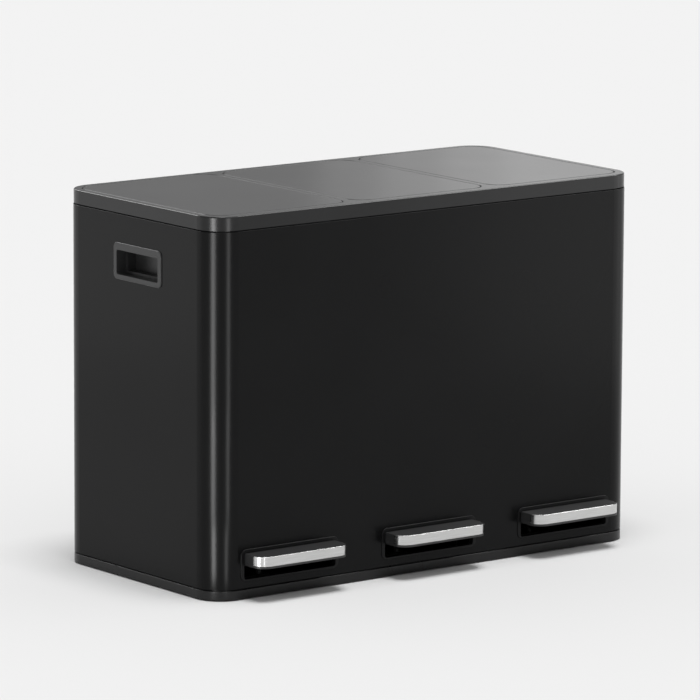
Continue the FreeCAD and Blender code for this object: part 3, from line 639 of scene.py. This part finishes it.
# For each stretch: its distance, its width, the heights of its foot and head, its spread in degrees.
STRIP_STEPS = (
    (0.10, 0.018, 0.0, 0.06, 70.0),
    (0.25, 0.044, 0.034, 0.16, 40.0),
    (0.45, 0.08, 0.125, 0.62, 30.0),
)
STRIP_RISE = 0.177
BACK_STEPS = (-0.145, -0.03, 0.085, 0.2)
BACK_PLACE = (1.55, 1.15, 0.85)
BACK_AIM = (0.1, 0.0, 0.43)
BACK_SIZE = (1.0, 1.2)
BACK_RADIANCE = 0.165


def corner_strips() -> list[Card]:
    """Upright strips of light that the case's near corner mirrors from top to bottom.

    Returns:
        One short card for each stretch of each strip.
    """
    strips = []
    for name, (turn, broad, radiance) in STRIP_TURNS.items():
        away = Vector((-math.sin(math.radians(turn)), -math.cos(math.radians(turn)), 0.0))
        for step, (distance, width, low, high, spread) in enumerate(STRIP_STEPS):
            place = CORNER + away * distance + Vector((0.0, 0.0, (low + high) / 2))
            aim = CORNER + Vector((0.0, 0.0, (low + high) / 2 + distance * STRIP_RISE))
            strips.append(Card(f"corner_strip_{name}_{step}", tuple(place), tuple(aim),
                               (width * broad, high - low), radiance, math.radians(spread)))
    return strips


def back_cards() -> list[Card]:
    """Overlapping cards behind the bin that brighten the lids by steps towards its right.

    Returns:
        One card for each step.
    """
    return [Card(f"back_card_{step}", (BACK_PLACE[0] + shift, *BACK_PLACE[1:]),
                 (BACK_AIM[0] + shift, *BACK_AIM[1:]), BACK_SIZE, BACK_RADIANCE)
            for step, shift in enumerate(BACK_STEPS)]


FILL_CARDS = (
    Card("edge_card_right", (1.7, -0.4, 2.2), (0.0, 0.0, 0.43), (1.5, 1.5), 9.0),
    Card("edge_card_back", (-0.5, 2.2, 1.9), (0.0, 0.0, 0.43), (1.5, 1.2), 7.0),
    Card("front_card", (1.1, -0.75, 0.36), (0.2, -0.1, 0.3), (0.9, 0.72), 0.9),
    Card("side_card", (-0.95, 0.75, 0.42), (-0.3, 0.0, 0.35), (0.9, 0.66), 0.3),
)


@dataclass
class Studio:
    """The floor, the light and the camera."""

    floor_size: float = 60.0
    floor_albedo: float = 0.8
    floor_roughness: float = 0.9
    world_level: float = 0.46
    sun_strength: float = 2.08
    sun_angle: float = math.radians(24)
    sun_tilt: tuple[float, float, float] = (math.radians(6), math.radians(-0.5), 0.0)
    camera_azimuth: float = math.radians(-37.344)
    camera_elevation: float = math.radians(10.042)
    camera_roll: float = math.radians(0.264)
    camera_distance: float = 6.8263
    camera_lens: float = 304.73
    camera_range: float = 100.0
    camera_aim_offset: tuple[float, float, float] = (0.02317, 0.03228, 0.01302)

    def build(self) -> None:
        """Make the floor, lights, world and camera."""
        self.add_floor()
        self.add_world()
        self.add_sun()
        for card in (*FILL_CARDS, *corner_strips(), *back_cards()):
            card.hang()
        self.add_camera()

    def add_floor(self) -> None:
        """Lay a plain pale floor."""
        bpy.ops.mesh.primitive_plane_add(size=self.floor_size)
        floor = bpy.context.object
        floor.name = "studio_floor"
        material = bpy.data.materials.new("pale_floor")
        material.use_nodes = True
        shader = material.node_tree.nodes["Principled BSDF"]
        shader.inputs["Base Color"].default_value = (self.floor_albedo,) * 3 + (1.0,)
        shader.inputs["Roughness"].default_value = self.floor_roughness
        shader.inputs["Specular IOR Level"].default_value = 0.0
        floor.data.materials.append(material)

    def add_world(self) -> None:
        """Fill the room with even pale light."""
        world = bpy.data.worlds.new("pale_room")
        world.use_nodes = True
        sky = world.node_tree.nodes["Background"]
        sky.inputs["Color"].default_value = (self.world_level,) * 3 + (1.0,)
        sky.inputs["Strength"].default_value = 1.0
        bpy.context.scene.world = world

    def add_sun(self) -> None:
        """Light the room evenly from overhead."""
        light = bpy.data.lights.new("overhead", "SUN")
        light.energy = self.sun_strength
        light.angle = self.sun_angle
        sun = bpy.data.objects.new("overhead", light)
        bpy.context.scene.collection.objects.link(sun)
        sun.rotation_euler = self.sun_tilt

    def add_camera(self) -> None:
        """Stand the camera to the front left, a little above the lids."""
        camera = bpy.data.cameras.new("camera")
        camera.lens = self.camera_lens
        camera.clip_end = self.camera_range
        viewer = bpy.data.objects.new("camera", camera)
        bpy.context.scene.collection.objects.link(viewer)
        turn = (Matrix.Rotation(self.camera_azimuth, 4, "Z")
                @ Matrix.Rotation(math.pi / 2 - self.camera_elevation, 4, "X")
                @ Matrix.Rotation(self.camera_roll, 4, "Z"))
        back = turn @ Vector((0.0, 0.0, 1.0))
        low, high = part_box("body_shell")
        aim = (Vector(low) + Vector(high)) / 2 + Vector(self.camera_aim_offset)
        viewer.matrix_world = Matrix.Translation(aim + back * self.camera_distance) @ turn
        bpy.context.scene.camera = viewer
        bpy.context.scene.view_settings.view_transform = "Standard"


def main() -> None:
    """Build the bin's finishes and pieces, then the studio."""
    logging.basicConfig(level=logging.INFO, format="%(name)s: %(message)s")
    bpy.ops.object.select_all(action="DESELECT")
    CarriedParts().dress()
    for side in Side:
        Bucket(side).build()
        LidRibs(side).build()
        Damper(side).build()
    RearSeam().build()
    Studio().build()
    bpy.context.view_layer.update()


if __name__ == "__main__":
    main()
